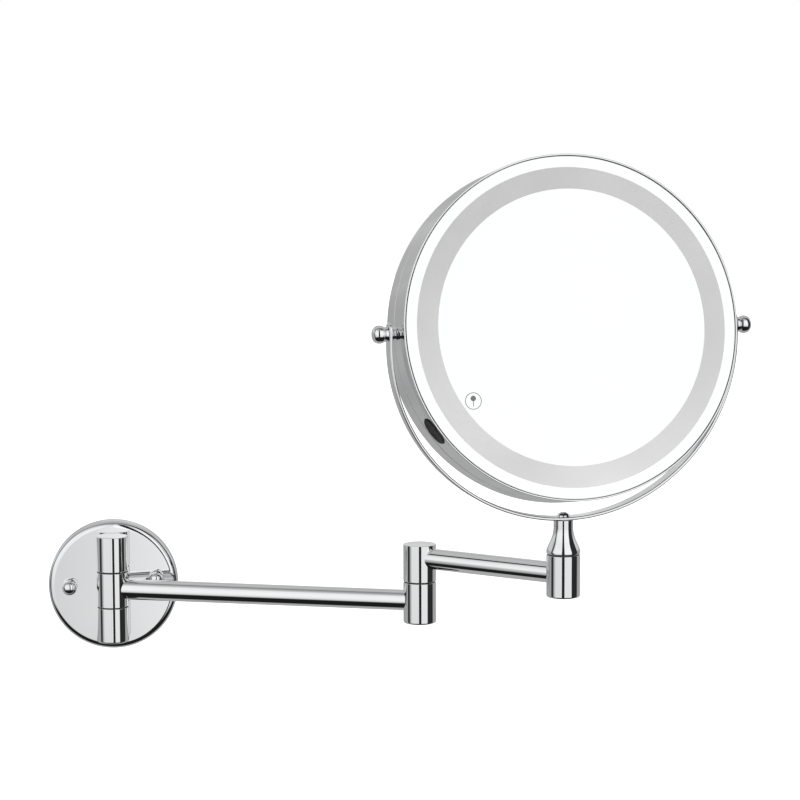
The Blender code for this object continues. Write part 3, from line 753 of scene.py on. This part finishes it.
# %% [markdown]
# ## Plug
# The charging port is closed by a rubber plug.  It stands almost a millimetre proud of the drum, with a chamfered
# rim and a shallow dished face that a finger nail can catch.

# %% The rubber plug
proud = HEAD + 0.9
outline = [(0, proud - 0.25), *flowing([(3.5, proud - 0.24), (5.2, proud - 0.16), (6.4, proud)], 4),
           (PLUG - 0.7, proud), (PLUG, proud - 0.6), (PLUG, 102.5), (5.0, 102.5), (5.0, 101.2), (0, 101.2)]
stopper = lathe("plug_rubber", outline, 96)
soften(stopper, 0.12, 2)
settle(stopper, AT_DIAL @ AT_PLUG, rubber, "plug", "black_rubber", "port_plug")

# %% [markdown]
# ## Studio
# Polished metal shows its surroundings more than itself.  So the studio is drawn as a dome of white and
# dark panels round the mirror, as a photographer sets them: white on one side, pale grey on the other,
# black strips between, and a dark table below the lens.  The camera itself sees only white.

# %% Panels of light and dark
world = bpy.data.worlds.new("studio")
bpy.context.scene.world = world
world.use_nodes = True
tree = world.node_tree
tree.nodes.clear()


def step(kind, *links, **values):
    node = tree.nodes.new(kind)
    for key, value in values.items():
        setattr(node, key, value)
    for socket, source in enumerate(links):
        if isinstance(source, (int, float)):
            node.inputs[socket].default_value = source
        elif source is not None:
            tree.links.new(source, node.inputs[socket])
    return node


def sums(operation, *links):
    return step("ShaderNodeMath", *links, operation=operation).outputs[0]


def panels(amount, stops):
    node = step("ShaderNodeValToRGB", amount)
    set_stops(node.color_ramp, [(place, (tone, tone, tone)) for place, tone in stops])
    return node.outputs["Color"]


def blend_tones(amount, first, second):
    node = step("ShaderNodeMix", data_type="RGBA")
    for socket, source in ((0, amount), (6, first), (7, second)):
        tree.links.new(source, node.inputs[socket])
    return node.outputs[2]


def bearings(stops):
    return panels(round_fac, [((angle + 180) / 360, tone) for angle, tone in stops])


def heights(stops):
    return panels(height_fac, [((angle + 90) / 180, tone) for angle, tone in stops])


look = step("ShaderNodeSeparateXYZ", step("ShaderNodeTexCoord").outputs["Generated"])
side = sums("ARCTAN2", look.outputs["X"], sums("MULTIPLY", look.outputs["Y"], -1.0))
round_fac = sums("ADD", sums("DIVIDE", side, math.tau), 0.5)
height_fac = sums("ADD", sums("DIVIDE", sums("ARCSINE", look.outputs["Z"]), math.pi), 0.5)

DARK = 0.012
RIGHT_PANELS = [(-8, 0.74), (-6, 0.60), (-3, 0.70), (-1, 0.85), (3, 0.79), (52, 0.79), (55, DARK), (180, DARK)]
low_walls = bearings([(-180, DARK), (-80, DARK), (-72, 0.35), (-58, 0.74), *RIGHT_PANELS])
high_walls = bearings([(-180, DARK), (-86, DARK), (-78, 0.60), (-66, 0.74), *RIGHT_PANELS])
walls = blend_tones(heights([(-90, 0), (-6, 0), (5, 1), (90, 1)]), low_walls, high_walls)
rise = heights([(-90, 0.77), (-14, 0.77), (-4, 0.92), (8, 1.0), (25, 1.0), (44, 0.92), (56, 0.58), (68, 0.36),
                (80, 0.31), (90, 0.22)])
front_light = sums("MULTIPLY", sums("MULTIPLY", walls, rise), 1.3)
dark_table = heights([(-90, 1), (-29, 1), (-20, 0), (90, 0)])
table = sums("ADD", sums("MULTIPLY", front_light, sums("SUBTRACT", 1.0, dark_table)), DARK)
clutter = step("ShaderNodeTexNoise", step("ShaderNodeTexCoord").outputs["Generated"])
clutter.inputs["Scale"].default_value = 9.0
clutter.inputs["Detail"].default_value = 4.0
uneven = step("ShaderNodeMapRange", clutter.outputs["Fac"], 0.35, 0.65, 0.92, 1.08)
room = heights([(-90, 0.30), (-60, 0.44), (-20, 0.39), (-2, 0.38), (6, 0.50), (13, 0.70), (22, 0.60), (40, 0.45),
                (65, 0.56), (80, 0.40), (90, 0.24)])
behind = sums("MULTIPLY", room, uneven.outputs["Result"])
is_behind = bearings([(-180, 1), (-97, 1), (-93, 0), (101, 0), (104, 1), (180, 1)])
studio = blend_tones(is_behind, table, behind)
path = step("ShaderNodeLightPath")
seen = step("ShaderNodeBackground", None, 1.0)
seen.inputs[0].default_value = (1, 1, 1, 1)
reflected = step("ShaderNodeBackground", studio, 1.0)
mixed = step("ShaderNodeMixShader", path.outputs["Is Camera Ray"], reflected.outputs[0], seen.outputs[0])
step("ShaderNodeOutputWorld", mixed.outputs[0])
world.cycles.sampling_method = "MANUAL"
world.cycles.sample_map_resolution = 512
print("studio: white to the right, pale to the left, black between")

# %% [markdown]
# A soft lamp low on the right gives the matt band and the rubber their shading.  It isn't seen in the
# chrome, which has its panels.  The floor lies far below, as under a mirror at eye height.

# %% Lamp and floor
LAMP_OFFSET = Vector((0.12, -0.30, -0.25))
LAMP_SIZE = 0.2
LAMP_WATTS = 0.9
FLOOR_LEVEL = -1.45

bpy.ops.object.light_add(type="AREA", location=pivot + LAMP_OFFSET)
lamp = bpy.context.object
lamp.data.shape = "DISK"
lamp.data.size = LAMP_SIZE
lamp.data.energy = LAMP_WATTS
lamp.rotation_euler = (pivot - lamp.location).to_track_quat("-Z", "Y").to_euler()
lamp.visible_glossy = False
lamp.visible_camera = False

clear_selection()
bpy.ops.mesh.primitive_plane_add(size=40, location=(0, 0, FLOOR_LEVEL))
floor = adopt("floor")
pale, tree, shader, spot = new_finish("pale_floor")
colour_ramp(tree, noise(tree, spot, 0.7), [(0.3, (0.9, 0.9, 0.9)), (0.7, (0.93, 0.93, 0.93))],
            shader.inputs["Base Color"])
shader.inputs["Roughness"].default_value = 1.0
shader.inputs["Emission Color"].default_value = (1, 1, 1, 1)
shader.inputs["Emission Strength"].default_value = 0.9
floor.data.materials.append(pale)
floor.visible_glossy = False

# %% [markdown]
# The camera stands almost two metres away with a long lens, a little above the arms, looking slightly down
# and to the right.

# %% Camera
LENS = 135.0
CAMERA = (0.0938, -1.9193, 0.3550)
DOWN = 7.06
RIGHT = 2.74
ROLL = -0.18
camera = bpy.data.objects.new("camera", bpy.data.cameras.new("camera"))
bpy.context.scene.collection.objects.link(camera)
camera.data.lens = LENS
camera.data.sensor_width = 36.0
camera.matrix_world = move(CAMERA) @ turn(-RIGHT, "Z") @ turn(90 - DOWN, "X") @ turn(ROLL, "Z")
bpy.context.scene.camera = camera
bpy.context.scene.view_settings.view_transform = "Standard"

# %% [markdown]
# A camera on its stand shows in round chrome as one thin dark line down the middle.  A slim dark card
# in front gives that line.  It is seen in reflections alone.

# %% The stand behind the camera
STAND_PLACE = (0.20, -0.9, 0.3)
STAND_WIDTH = 0.25
STAND_HEIGHT = 3.0

clear_selection()
bpy.ops.mesh.primitive_plane_add(size=1, location=STAND_PLACE, rotation=(math.pi / 2, 0, 0))
stand = adopt("camera_stand")
stand.scale = (STAND_WIDTH, STAND_HEIGHT, 1)
dark, tree, shader, spot = new_finish("dark_cloth")
colour_ramp(tree, noise(tree, spot, 60), [(0.3, (0.01, 0.01, 0.01)), (0.7, (0.03, 0.03, 0.03))],
            shader.inputs["Base Color"])
shader.inputs["Roughness"].default_value = 1.0
shader.inputs["Specular IOR Level"].default_value = 0.0
stand.data.materials.append(dark)
stand.visible_camera = False
stand.visible_diffuse = False
stand.visible_shadow = False

# %% [markdown]
# Last, the selection is cleared.

# %% Clear the selection
clear_selection()
